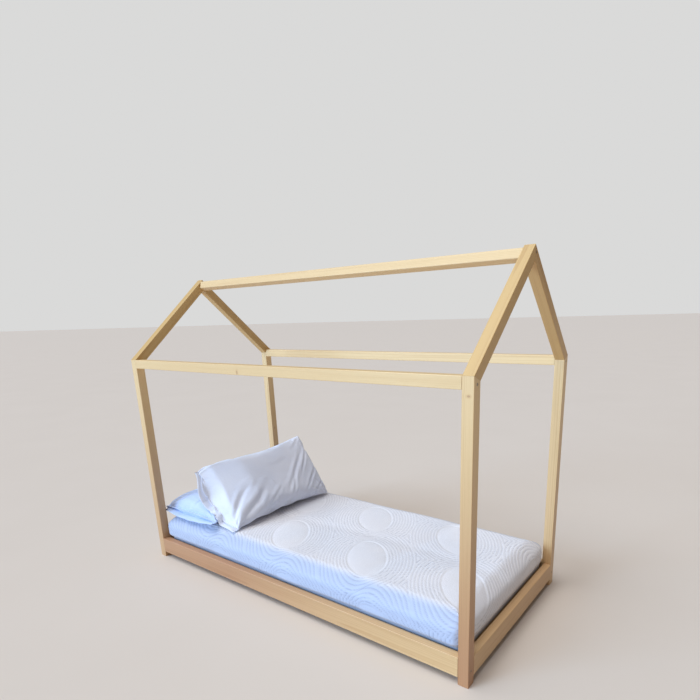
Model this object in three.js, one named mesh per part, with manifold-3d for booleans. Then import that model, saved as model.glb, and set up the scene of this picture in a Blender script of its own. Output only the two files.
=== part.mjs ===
// House-shaped toddler bed: a square-stock pine frame round a low slatted base,
// with a mattress in a quilted cover and two pillows.
//
// Millimetres, +Z up. X runs along the bed, head end at -X and foot end at +X.
// The front long side faces -Y. The origin is on the floor under the middle.
//
// Every piece is one closed solid. Timber is planed stock with eased long edges,
// mitred at the eaves and the apex, butted everywhere else, and held by dowels
// and countersunk screws that sit in their own holes.

import * as THREE from 'three';
import { mergeVertices } from 'three/addons/utils/BufferGeometryUtils.js';
import Module from 'manifold-3d';

const wasm = await Module();
wasm.setup();

// ---------------------------------------------------------------- sizes

// What the bed is built round.
const mattressLength = 1600;
const mattressWidth = 700;
const mattressThickness = 145;
const mattressSideGap = 5; // to the posts, each side
const mattressEndGap = 10; // to the posts, each end

// Square stock of the posts, rafters and eave rails.
const postSection = 37;
const timberEase = 2; // radius on the long edges
const eaveHeight = 955; // outer corner of the post and rafter mitre
const roofPitch = THREE.MathUtils.degToRad(42);

// The ridge beam is slimmer and turned about its own length.
const ridgeSection = 33;
const ridgeTilt = THREE.MathUtils.degToRad(21);
const ridgeDrop = 29; // its centre below the apex

// Boards of the base.
const footClearance = 25; // floor to the underside of the rails
const railHeight = 70;
const railThickness = 30;
const ledgerSection = 20;
const ledgerRise = 2; // above the lower edge of the side rail
const ledgerEndGap = 10;
const slatCount = 11;
const slatWidth = 80;
const slatThickness = 15;
const slatSideGap = 2; // to each side rail
const slatEndInset = 55; // post face to the middle of the first slat

// Fixings.
const jointGap = 0.3; // between any two pieces that meet
const holeClearance = 0.3; // round a dowel or screw
const dowelRadius = 4;
const dowelLength = 40;
const mitreDowelRadius = 3;
const mitreDowelLength = 24;
const screwShankRadius = 2.5;
const screwHeadRadius = 4.5;
const screwHeadDepth = 3;
const screwLength = 80;
const screwSink = 0.6; // head below the wood's face

// Mattress.
const mattressCornerRadius = 55; // seen from above
const mattressEdgeRadius = 32; // top and bottom edges
const coverThickness = 3;
const coverGap = 0.5; // cover to core
const coverUnderlap = 60; // how far the cover turns in underneath

// Pillows, filled: one lies flat at the head, the other leans on it.
const pillowWidth = 352;
const pillowLength = 584;
const pillowSeam = 10; // thickness at the seam
const pillowWaist = 0.035; // share the seam draws in between the corners
const pillowGap = 1; // to whatever it rests on
const flatPillowHeadGap = 4; // to the plane of the head posts' inner faces
const flatPillowOver = 57; // plumpness above the seam
const flatPillowUnder = 35; // and below it, pressed flat
const leaningPillowFront = 60;
const leaningPillowBack = 65;
const leaningPillowSetback = 112; // its foot from the flat pillow's front edge
const leanAngle = THREE.MathUtils.degToRad(42); // back from upright
const leanTwist = THREE.MathUtils.degToRad(8); // further back at the front end, less at the rear

// ---------------------------------------------------------------- worked-out sizes

const innerLength = mattressLength + 2 * mattressEndGap;
const innerWidth = mattressWidth + 2 * mattressSideGap;
const halfLength = innerLength / 2 + postSection;
const halfWidth = innerWidth / 2 + postSection;
const apexHeight = eaveHeight + halfWidth * Math.tan(roofPitch);
const railTop = footClearance + railHeight;
const ledgerTop = footClearance + ledgerRise + ledgerSection;
const mattressBase = ledgerTop + slatThickness + 2 * jointGap;
const mattressTop = mattressBase + mattressThickness;
const beamLength = innerLength - 2 * jointGap;
const mitreSlope = (Math.PI / 2 - roofPitch) / 2; // of the mitre below horizontal

// The two ends and the two long sides.
const ENDS = [{ word: 'foot', sign: 1 }, { word: 'head', sign: -1 }];
const SIDES = [{ word: 'front', sign: -1 }, { word: 'rear', sign: 1 }];

// ---------------------------------------------------------------- finishes

function finish(colour, roughness, metalness = 0) {
  return () => new THREE.MeshStandardMaterial({ color: colour, roughness, metalness });
}

const clearPine = finish(0xe2c993, 0.58);
const rawPine = finish(0xead7ab, 0.72);
const beech = finish(0xd6b07c, 0.65);
const zincSteel = finish(0x8f8c82, 0.4, 0.9);
const foam = finish(0xf1ead2, 0.9);
const quiltedTicking = finish(0xdfe3ef, 0.85);
const pillowCotton = finish(0xcfd6f0, 0.9);

// ---------------------------------------------------------------- solids

/** A three.js geometry as a manifold solid. */
function toSolid(geometry) {
  const bare = geometry.clone();
  bare.deleteAttribute('normal');
  bare.deleteAttribute('uv');
  const merged = mergeVertices(bare, 1e-4);
  return new wasm.Manifold(new wasm.Mesh({
    numProp: 3,
    vertProperties: new Float32Array(merged.attributes.position.array),
    triVerts: new Uint32Array(merged.index.array),
  }));
}

/** A manifold solid as a three.js geometry. */
function toGeometry(solid) {
  const mesh = solid.getMesh();
  const geometry = new THREE.BufferGeometry();
  geometry.setAttribute('position', new THREE.BufferAttribute(new Float32Array(mesh.vertProperties), 3));
  geometry.setIndex(new THREE.BufferAttribute(new Uint32Array(mesh.triVerts), 1));
  geometry.computeVertexNormals();
  return geometry;
}

/** A rectangle about the origin with its corners rounded. */
function roundedRectangle(width, height, radius) {
  const x = width / 2;
  const y = height / 2;
  const shape = new THREE.Shape();
  shape.moveTo(x - radius, -y);
  shape.absarc(x - radius, -y + radius, radius, -Math.PI / 2, 0);
  shape.absarc(x - radius, y - radius, radius, 0, Math.PI / 2);
  shape.absarc(-x + radius, y - radius, radius, Math.PI / 2, Math.PI);
  shape.absarc(-x + radius, -y + radius, radius, Math.PI, Math.PI * 1.5);
  return shape;
}

/** Planed stock about the origin, its length along Z, its long edges eased. */
function stock(width, depth, length) {
  const outline = roundedRectangle(width, depth, timberEase);
  const geometry = new THREE.ExtrudeGeometry(outline, { depth: length, bevelEnabled: false, curveSegments: 2 });
  geometry.translate(0, 0, -length / 2);
  return geometry;
}

/** A block filling the half space on the side of a plane that its normal points to. */
function halfSpace(point, normal) {
  const reach = 6 * postSection;
  const place = new THREE.Object3D();
  place.position.copy(point).addScaledVector(normal, reach / 2);
  place.quaternion.setFromUnitVectors(new THREE.Vector3(0, 0, 1), normal);
  place.updateMatrixWorld();
  return { geometry: new THREE.BoxGeometry(reach, reach, reach), matrix: place.matrixWorld };
}

/** A round piece from a profile of [radius, distance] points, laid from a point along a direction. */
function turned(profile, start, direction, segments) {
  const points = profile.map(([radius, distance]) => new THREE.Vector2(radius, distance));
  const geometry = new THREE.LatheGeometry(points, segments);
  const place = new THREE.Object3D();
  place.position.copy(start);
  place.quaternion.setFromUnitVectors(new THREE.Vector3(0, 1, 0), direction);
  place.updateMatrixWorld();
  return { geometry, matrix: place.matrixWorld, position: place.position, quaternion: place.quaternion };
}

/** A straight dowel about a middle point, with its ends chamfered. */
function dowelShape(middle, direction, radius, length, grow = 0) {
  const start = middle.clone().addScaledVector(direction, -length / 2);
  const chamfer = radius / 4;
  const profile = [
    [0, -grow],
    [radius - chamfer + grow, -grow],
    [radius + grow, chamfer],
    [radius + grow, length - chamfer],
    [radius - chamfer + grow, length + grow],
    [0, length + grow],
  ];
  return turned(profile, start, direction, 10);
}

/** A countersunk screw whose head starts at a point just under the wood's face. */
function screwShape(start, direction, grow = 0) {
  const head = screwHeadRadius + grow;
  const shank = screwShankRadius + grow;
  const mouth = grow > 0 ? -2 * screwSink : 0; // the hole runs out through the face
  const profile = [
    [0, mouth],
    [head, mouth],
    [head, 0.4],
    [shank, screwHeadDepth],
    [shank, screwLength - 2 * shank],
    [0, screwLength + grow],
  ];
  return turned(profile, start, direction, 10);
}

// ---------------------------------------------------------------- building

const bed = new THREE.Group();
const holes = []; // what the fixings cut out of the timber

/** Adds a piece to the bed, cut by every shape in cuts, which are in the bed's own frame. */
function addPiece(name, geometry, material, place = {}, cuts = []) {
  const mesh = new THREE.Mesh(geometry, material());
  mesh.name = name;
  if (place.position) mesh.position.copy(place.position);
  if (place.rotation) mesh.rotation.copy(place.rotation);
  if (place.quaternion) mesh.quaternion.copy(place.quaternion);
  mesh.updateMatrixWorld();
  const toLocal = mesh.matrixWorld.clone().invert();
  if (cuts.length > 0) {
    let solid = toSolid(geometry);
    for (const cut of cuts) {
      const local = toLocal.clone().multiply(cut.matrix);
      solid = solid.subtract(toSolid(cut.geometry.clone().applyMatrix4(local)));
    }
    mesh.geometry = toGeometry(solid);
  }
  bed.add(mesh);
  return mesh;
}

const at = (x, y, z) => new THREE.Vector3(x, y, z);
const turn = (x, y, z) => new THREE.Euler(x, y, z);

/** Adds a dowel or screw and notes the hole that it needs. */
function addFixing(name, material, shape, hole) {
  addPiece(name, shape.geometry, material, shape);
  holes.push(hole);
}

function addDowel(name, middle, direction, radius = dowelRadius, length = dowelLength) {
  const piece = dowelShape(middle, direction, radius, length);
  const hole = dowelShape(middle, direction, radius, length, holeClearance);
  addFixing(name, beech, piece, hole);
}

function addScrew(name, face, direction) {
  const start = face.clone().addScaledVector(direction, screwSink);
  addFixing(name, zincSteel, screwShape(start, direction), screwShape(start, direction, holeClearance));
}

// ---- fixings, placed first because they cut the timber

const postMiddleX = halfLength - postSection / 2;
const postMiddleY = halfWidth - postSection / 2;

/** The outer corner of the eave mitre and the directions along it and across it. */
function eaveMitre(side) {
  const corner = at(0, side.sign * halfWidth, eaveHeight);
  const along = at(0, -side.sign * Math.cos(mitreSlope), -Math.sin(mitreSlope));
  const across = at(0, -side.sign * Math.sin(mitreSlope), Math.cos(mitreSlope));
  return { corner, along, across };
}

function addCornerFixings(end, side) {
  const corner = `${end.word}_${side.word}`;
  const inwardX = at(-end.sign, 0, 0);
  const faceX = end.sign * halfLength;
  const y = side.sign * postMiddleY;

  addScrew(`eave_screw_${corner}`, at(faceX, y, eaveHeight - 0.62 * postSection), inwardX);
  addScrew(`side_rail_screw_${corner}`, at(faceX, y, footClearance + 0.4 * railHeight), inwardX);
  const railDowelHeight = footClearance + 0.8 * railHeight;
  addDowel(`side_rail_dowel_${corner}`, at(end.sign * innerLength / 2, y, railDowelHeight), inwardX);

  const endRailMiddleX = end.sign * (halfLength - railThickness / 2);
  for (const [level, share] of [['lower', 0.22], ['upper', 0.6]]) {
    const middle = at(endRailMiddleX, side.sign * innerWidth / 2, footClearance + share * railHeight);
    addDowel(`end_rail_dowel_${corner}_${level}`, middle, at(0, side.sign, 0));
  }

  const mitre = eaveMitre(side);
  const middle = mitre.corner.clone().addScaledVector(mitre.along, 0.38 * postSection);
  middle.x = end.sign * postMiddleX;
  addDowel(`eave_mitre_dowel_${corner}`, middle, mitre.across, mitreDowelRadius, mitreDowelLength);
}

function addGableFixings(end) {
  const screwOffset = ridgeSection / 5; // clear of the apex joint
  const screwFace = at(end.sign * halfLength, screwOffset, apexHeight - ridgeDrop + screwOffset);
  addScrew(`ridge_screw_${end.word}`, screwFace, at(-end.sign, 0, 0));
  const dowelMiddle = at(end.sign * postMiddleX, 0, apexHeight - 1.08 * postSection);
  addDowel(`apex_dowel_${end.word}`, dowelMiddle, at(0, 1, 0), mitreDowelRadius, mitreDowelLength);
}

for (const end of ENDS) {
  for (const side of SIDES) addCornerFixings(end, side);
  addGableFixings(end);
}

/** The holes that reach into a box about a piece, so that each piece is cut only where it must be. */
function holesNear(low, high) {
  return holes.filter((hole) => {
    const reach = new THREE.Box3().setFromBufferAttribute(hole.geometry.attributes.position);
    return reach.applyMatrix4(hole.matrix).intersectsBox(new THREE.Box3(low, high));
  });
}

// ---- posts and rafters

function addPost(end, side) {
  const mitre = eaveMitre(side);
  const x = end.sign * postMiddleX;
  const y = side.sign * postMiddleY;
  const length = eaveHeight + postSection;
  const top = halfSpace(mitre.corner.clone().setX(x).addScaledVector(mitre.across, -jointGap / 2), mitre.across);
  const half = postSection / 2;
  const near = holesNear(at(x - half, y - half, 0), at(x + half, y + half, eaveHeight));
  addPiece(
    `post_${end.word}_${side.word}`,
    stock(postSection, postSection, length),
    clearPine,
    { position: at(x, y, length / 2) },
    [top, ...near],
  );
}

function addRafter(end, side) {
  const mitre = eaveMitre(side);
  const x = end.sign * postMiddleX;
  const topMiddle = at(x, side.sign * halfWidth / 2, (eaveHeight + apexHeight) / 2);
  const inwards = at(0, -side.sign * Math.sin(roofPitch), -Math.cos(roofPitch));
  const length = halfWidth / Math.cos(roofPitch) + 3 * postSection;
  const foot = halfSpace(
    mitre.corner.clone().setX(x).addScaledVector(mitre.across, jointGap / 2),
    mitre.across.clone().negate(),
  );
  const apex = halfSpace(at(x, side.sign * jointGap / 2, apexHeight), at(0, -side.sign, 0));
  const half = postSection / 2;
  const lowY = Math.min(0, side.sign * halfWidth);
  const near = holesNear(at(x - half, lowY, eaveHeight - postSection), at(x + half, lowY + halfWidth, apexHeight));
  addPiece(
    `rafter_${end.word}_${side.word}`,
    stock(postSection, postSection, length),
    clearPine,
    {
      position: topMiddle.addScaledVector(inwards, postSection / 2),
      rotation: turn(side.sign * (Math.PI / 2 - roofPitch), 0, 0),
    },
    [foot, apex, ...near],
  );
}

for (const end of ENDS) {
  for (const side of SIDES) {
    addPost(end, side);
    addRafter(end, side);
  }
}

// ---- beams between the gables

/** Stock running along X, cut by the fixings that reach into its ends. */
function addLongBeam(name, material, height, thickness, y, z, length = beamLength, tilt = 0) {
  const reach = Math.hypot(height, thickness) / 2;
  const near = holesNear(at(-length / 2, y - reach, z - reach), at(length / 2, y + reach, z + reach));
  addPiece(
    name,
    stock(height, thickness, length),
    material,
    { position: at(0, y, z), rotation: turn(tilt, Math.PI / 2, 0) },
    near,
  );
}

addLongBeam('ridge_beam', clearPine, ridgeSection, ridgeSection, 0, apexHeight - ridgeDrop, beamLength, -ridgeTilt);

for (const side of SIDES) {
  const eaveY = side.sign * postMiddleY;
  addLongBeam(`eave_rail_${side.word}`, clearPine, postSection, postSection, eaveY, eaveHeight - postSection / 2);
  const railY = side.sign * (halfWidth - railThickness / 2);
  const railZ = footClearance + railHeight / 2;
  addLongBeam(`side_rail_${side.word}`, clearPine, railHeight, railThickness, railY, railZ);
}

// ---- end rails

function addEndRail(end) {
  const x = end.sign * (halfLength - railThickness / 2);
  const z = footClearance + railHeight / 2;
  const length = innerWidth - 2 * jointGap;
  const near = holesNear(
    at(x - railThickness / 2, -length / 2, footClearance),
    at(x + railThickness / 2, length / 2, railTop),
  );
  addPiece(
    `end_rail_${end.word}`,
    stock(railThickness, railHeight, length),
    clearPine,
    { position: at(x, 0, z), rotation: turn(Math.PI / 2, 0, 0) },
    near,
  );
}

for (const end of ENDS) addEndRail(end);

// ---- slatted base

for (const side of SIDES) {
  const y = side.sign * (halfWidth - railThickness - ledgerSection / 2 - jointGap);
  const z = ledgerTop - ledgerSection / 2;
  const length = innerLength - 2 * ledgerEndGap;
  addLongBeam(`slat_ledger_${side.word}`, rawPine, ledgerSection, ledgerSection, y, z, length);
}

const slatLength = 2 * (halfWidth - railThickness - slatSideGap);
const slatRun = innerLength - 2 * slatEndInset;
for (let i = 0; i < slatCount; i += 1) {
  const x = -slatRun / 2 + i * slatRun / (slatCount - 1);
  addPiece(
    `slat_${String(i + 1).padStart(2, '0')}`,
    stock(slatWidth, slatThickness, slatLength),
    rawPine,
    { position: at(x, 0, ledgerTop + jointGap + slatThickness / 2), rotation: turn(Math.PI / 2, 0, 0) },
  );
}

// ---- mattress

/** A cushion block about the origin, rounded in plan and along its top and bottom edges. */
function softBlock(length, width, thickness, cornerRadius, edgeRadius) {
  const outline = roundedRectangle(length - 2 * edgeRadius, width - 2 * edgeRadius, cornerRadius - edgeRadius);
  const geometry = new THREE.ExtrudeGeometry(outline, {
    depth: thickness - 2 * edgeRadius,
    bevelThickness: edgeRadius,
    bevelSize: edgeRadius,
    bevelSegments: 4,
    curveSegments: 5,
  });
  geometry.translate(0, 0, -thickness / 2 + edgeRadius);
  return geometry;
}

const mattressMiddle = at(0, 0, (mattressBase + mattressTop) / 2);

/** The mattress block, drawn in from its outside all round. */
function mattressBlock(inset) {
  return softBlock(
    mattressLength - 2 * inset,
    mattressWidth - 2 * inset,
    mattressThickness - 2 * inset,
    mattressCornerRadius - inset,
    mattressEdgeRadius - inset,
  );
}

function addMattress() {
  const place = { position: mattressMiddle };
  const inside = { geometry: mattressBlock(coverThickness), matrix: new THREE.Matrix4().setPosition(mattressMiddle) };
  const window = {
    geometry: new THREE.BoxGeometry(
      mattressLength - 2 * coverUnderlap,
      mattressWidth - 2 * coverUnderlap,
      4 * coverThickness,
    ),
    matrix: new THREE.Matrix4().setPosition(0, 0, mattressBase),
  };
  addPiece('mattress_core', mattressBlock(coverThickness + coverGap), foam, place);
  addPiece('mattress_cover', mattressBlock(0), quiltedTicking, place, [inside, window]);
}

addMattress();

// ---- pillows

/** A pillow about the origin, X across it and Y along it: plump in the middle, thin at its seam. */
function pillowGeometry(over, under, grow = 0) {
  const geometry = new THREE.BoxGeometry(2, 2, 2, 12, 16, 1);
  const position = geometry.attributes.position;
  for (let i = 0; i < position.count; i += 1) {
    const u = position.getX(i);
    const v = position.getY(i);
    const fullness = Math.sqrt((1 - u ** 4) * (1 - v ** 4));
    const waist = (edge) => 1 - pillowWaist * (1 - edge ** 2);
    const plump = position.getZ(i) > 0 ? over : -under;
    const seam = Math.sign(plump) * pillowSeam / 2;
    position.setXYZ(
      i,
      u * waist(v) * (pillowWidth / 2 + grow),
      v * waist(u) * (pillowLength / 2 + grow),
      seam + (plump - seam) * fullness + Math.sign(plump) * grow,
    );
  }
  return geometry;
}

/** Leans a flat-lying pillow back about its foot, more at one end than at the other. */
function leanBack(geometry) {
  const position = geometry.attributes.position;
  for (let i = 0; i < position.count; i += 1) {
    const up = pillowWidth / 2 - position.getX(i);
    const forward = position.getZ(i);
    const y = position.getY(i);
    const angle = leanAngle - leanTwist * y / (pillowLength / 2);
    const x = forward * Math.cos(angle) - up * Math.sin(angle);
    const z = forward * Math.sin(angle) + up * Math.cos(angle);
    position.setXYZ(i, x, y, z);
  }
  return geometry;
}

const flatPillowMiddle = at(
  -innerLength / 2 + flatPillowHeadGap + pillowWidth / 2,
  0,
  mattressTop + pillowGap + flatPillowUnder,
);

const leaningPillowFoot = at(
  flatPillowMiddle.x + pillowWidth / 2 + leaningPillowSetback,
  0,
  mattressTop + pillowGap + pillowSeam / 2,
);

const flatPillowNest = {
  geometry: pillowGeometry(flatPillowOver, flatPillowUnder, pillowGap),
  matrix: new THREE.Matrix4().setPosition(flatPillowMiddle),
};

const mattressNest = {
  geometry: new THREE.BoxGeometry(mattressLength, mattressWidth, mattressThickness),
  matrix: new THREE.Matrix4().setPosition(0, 0, mattressTop + pillowGap - mattressThickness / 2),
};

addPiece(
  'back_pillow',
  pillowGeometry(flatPillowOver, flatPillowUnder),
  pillowCotton,
  { position: flatPillowMiddle },
);

addPiece(
  'front_pillow',
  leanBack(pillowGeometry(leaningPillowFront, leaningPillowBack)),
  pillowCotton,
  { position: leaningPillowFoot },
  [mattressNest, flatPillowNest],
);

export default bed;
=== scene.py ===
"""House-frame toddler bed in clear pine, with a quilted mattress and two cotton pillows.

Metres, +Z up, X along the bed from head (-X) to foot (+X), front long side at -Y.
The timber comes ready shaped; the mattress, the pillows and the slats' screws are made here.
"""

import itertools
import math

import bpy
import numpy as np
from mathutils import Euler, Matrix, Vector
from mathutils.bvhtree import BVHTree


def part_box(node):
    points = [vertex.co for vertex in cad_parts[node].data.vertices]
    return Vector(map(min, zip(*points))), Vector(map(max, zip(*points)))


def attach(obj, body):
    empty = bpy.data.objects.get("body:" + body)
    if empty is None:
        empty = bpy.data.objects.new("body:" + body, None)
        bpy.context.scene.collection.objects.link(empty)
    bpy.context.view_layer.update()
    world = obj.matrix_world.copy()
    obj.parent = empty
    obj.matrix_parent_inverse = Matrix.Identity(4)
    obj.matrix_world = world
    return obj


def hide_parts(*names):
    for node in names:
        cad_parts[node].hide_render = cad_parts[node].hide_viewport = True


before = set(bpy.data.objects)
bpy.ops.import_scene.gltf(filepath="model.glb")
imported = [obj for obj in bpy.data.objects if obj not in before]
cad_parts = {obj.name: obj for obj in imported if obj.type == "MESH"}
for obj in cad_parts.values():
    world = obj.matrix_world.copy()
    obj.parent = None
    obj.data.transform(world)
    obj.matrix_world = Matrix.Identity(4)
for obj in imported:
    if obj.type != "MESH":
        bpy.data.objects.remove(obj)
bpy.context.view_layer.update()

MM = 0.001
SEED = 11

# The camera: where it stands, how it is turned, its focal length and its shift.
EYE = Vector((1.4283, -1.5728, 1.1020))
HEADING = math.radians(36.14)  # from +Y towards -X
DOWNWARD = math.radians(15.56)
ROLL = math.radians(-1.505)
LENS = 25.83
SHIFT = (-0.0546, 0.1557)

# Cover of the mattress: smooth ovals in staggered rows with rings of quilting round them.
MATTRESS_STEP = 4 * MM
MATTRESS_CORNER = 26 * MM
MATTRESS_TOP_EDGE = 56 * MM
MATTRESS_BOTTOM_EDGE = 26 * MM
OVAL_LENGTH = 290 * MM
OVAL_WIDTH = 154 * MM
OVAL_TURN = math.radians(-52)
OVAL_PITCH = 425 * MM
OVAL_ROW = 335 * MM
OVAL_START = (295 * MM, -180 * MM)
RING_SPACING = 13 * MM
RING_HEIGHT = 2.2 * MM
OVAL_SWELL = 3.0 * MM
# How far the mattress swells past its block, at the ends and along the sides.
BULGE_BESIDE_RAIL = (8 * MM, 3 * MM, 0)
BULGE_OVER_RAIL = (7 * MM, 20 * MM, 0)

# Slats' screws: how far each stands from the slat's edge.
SCREW_INSET = 20 * MM

# Pillows: the flat cut of the case, how it is filled, and its open end.
CASE_WIDTH = 400 * MM
CASE_LENGTH = 600 * MM
CASE_STEP = 7 * MM
CASE_CLOTH = {
    "quality": 6,
    "mass": 0.25,
    "tension_stiffness": 15,
    "compression_stiffness": 15,
    "shear_stiffness": 6,
    "bending_stiffness": 0.4,
    "air_damping": 2,
    "use_pressure": True,
    "uniform_pressure_force": 2.2,
}
FILL_FRAMES = 21
BOXY_POWER = 1.9
BOXY_REACH = 150 * MM
HEM_THICKNESS = 1.6 * MM
HEM_OVERLAP = 8 * MM
HEM_ROWS = 4
STITCH_ROW = 3
STITCH_PITCH = 4.5 * MM
STITCH_LENGTH = 3.0 * MM
THREAD_RADIUS = 0.4 * MM

# The flat pillow: how much plumper than its box before it settles, and where its middle lies.
FLAT_FULLNESS = (1.09, 1.03, 1.36)
FLAT_SHIFT = (-13 * MM, -24 * MM)
FLAT_HALF_THICKNESS = 44 * MM
POST_REACH = 11 * MM  # how near the post's inner face its cloth is held clear of the post

# The leaning pillow: its size, its lean, how the lean changes towards the ends, and where it stands.
LEANING_SIZE = (0.352, 0.588, 0.134)
LEAN = math.radians(42)
LEAN_TWIST = math.radians(8)
TWIST_REACH = 0.292
LEANING_FOOT = Vector((0.2729, 0, 0.006))  # from its box's head side and the mattress's top
PILLOW_GAP = 3 * MM  # between a pillow and what it lies on
GAP_REACH = 4 * MM


# ---------------------------------------------------------------- helpers


def link(obj):
    bpy.context.scene.collection.objects.link(obj)
    return obj


def mesh_object(name, verts, faces, smooth=True):
    """A new object from vertices and faces, both sequences or arrays."""
    mesh = bpy.data.meshes.new(name)
    mesh.from_pydata([tuple(v) for v in verts], [], [tuple(f) for f in faces])
    mesh.update()
    if smooth:
        mesh.shade_smooth()
    return link(bpy.data.objects.new(name, mesh))


def get_points(mesh):
    flat = np.empty(len(mesh.vertices) * 3)
    mesh.vertices.foreach_get("co", flat)
    return flat.reshape(-1, 3)


def set_points(mesh, points):
    mesh.vertices.foreach_set("co", np.asarray(points, float).ravel())
    mesh.update()


def set_uv(mesh, coordinates):
    """One UV pair for each vertex, in metres of cloth."""
    layer = mesh.uv_layers.new(name="cloth")
    corner = np.empty(len(mesh.loops), int)
    mesh.loops.foreach_get("vertex_index", corner)
    layer.data.foreach_set("uv", np.asarray(coordinates, float)[corner].ravel())


def set_value(mesh, name, values):
    attribute = mesh.attributes.new(name, "FLOAT", "POINT")
    attribute.data.foreach_set("value", np.asarray(values, float))


def smoothstep(low, high, value):
    t = np.clip((value - low) / (high - low), 0, 1)
    return t * t * (3 - 2 * t)


# ---------------------------------------------------------------- node helpers


class Nodes:
    """Short ways to add nodes to a tree and join them."""

    def __init__(self, tree):
        self.tree = tree

    def add(self, kind, inputs=None, **settings):
        node = self.tree.nodes.new(kind)
        for key, value in settings.items():
            setattr(node, key, value)
        for key, value in (inputs or {}).items():
            self.put(node.inputs[key], value)
        return node

    def put(self, socket, value):
        if isinstance(value, bpy.types.NodeSocket):
            self.tree.links.new(value, socket)
        else:
            socket.default_value = value

    def math(self, operation, *values):
        node = self.add("ShaderNodeMath", operation=operation)
        for socket, value in zip(node.inputs, values):
            self.put(socket, value)
        return node.outputs[0]

    def vector(self, operation, *values):
        node = self.add("ShaderNodeVectorMath", operation=operation)
        for socket, value in zip(node.inputs, values):
            self.put(socket, value)
        return node.outputs["Value" if operation in ("LENGTH", "DOT_PRODUCT") else "Vector"]

    def mix_colour(self, amount, first, second, blend="MIX"):
        node = self.add("ShaderNodeMix", data_type="RGBA", blend_type=blend)
        self.put(node.inputs[0], amount)
        self.put(node.inputs[6], first)
        self.put(node.inputs[7], second)
        return node.outputs[2]

    def spread(self, value, low, high, out_low=0.0, out_high=1.0):
        node = self.add("ShaderNodeMapRange", interpolation_type="SMOOTHSTEP")
        for key, item in (("Value", value), ("From Min", low), ("From Max", high)):
            self.put(node.inputs[key], item)
        node.inputs["To Min"].default_value = out_low
        node.inputs["To Max"].default_value = out_high
        return node.outputs[0]

    def noise(self, vector, scale, detail=2.0, roughness=0.5, output="Fac"):
        inputs = {"Vector": vector, "Scale": scale, "Detail": detail, "Roughness": roughness}
        return self.add("ShaderNodeTexNoise", inputs).outputs[output]

    def bump(self, height, strength, distance, **normal):
        inputs = {"Height": height, "Strength": strength, "Distance": distance, **normal}
        return self.add("ShaderNodeBump", inputs).outputs[0]


def shader_group(name, inputs, outputs):
    """A new shader node group with named sockets, as (group, nodes, entry, exit)."""
    group = bpy.data.node_groups.new(name, "ShaderNodeTree")
    for socket_name, kind, default in inputs:
        socket = group.interface.new_socket(socket_name, in_out="INPUT", socket_type=kind)
        if default is not None:
            socket.default_value = default
    for socket_name, kind in outputs:
        group.interface.new_socket(socket_name, in_out="OUTPUT", socket_type=kind)
    nodes = Nodes(group)
    entry = nodes.add("NodeGroupInput")
    leave = nodes.add("NodeGroupOutput")
    return group, nodes, entry, leave


def new_material(name):
    material = bpy.data.materials.new(name)
    material.use_nodes = True
    nodes = Nodes(material.node_tree)
    shader = material.node_tree.nodes["Principled BSDF"]
    return material, nodes, shader


# ---------------------------------------------------------------- timber

FLOAT, VECTOR, COLOUR = "NodeSocketFloat", "NodeSocketVector", "NodeSocketColor"


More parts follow.
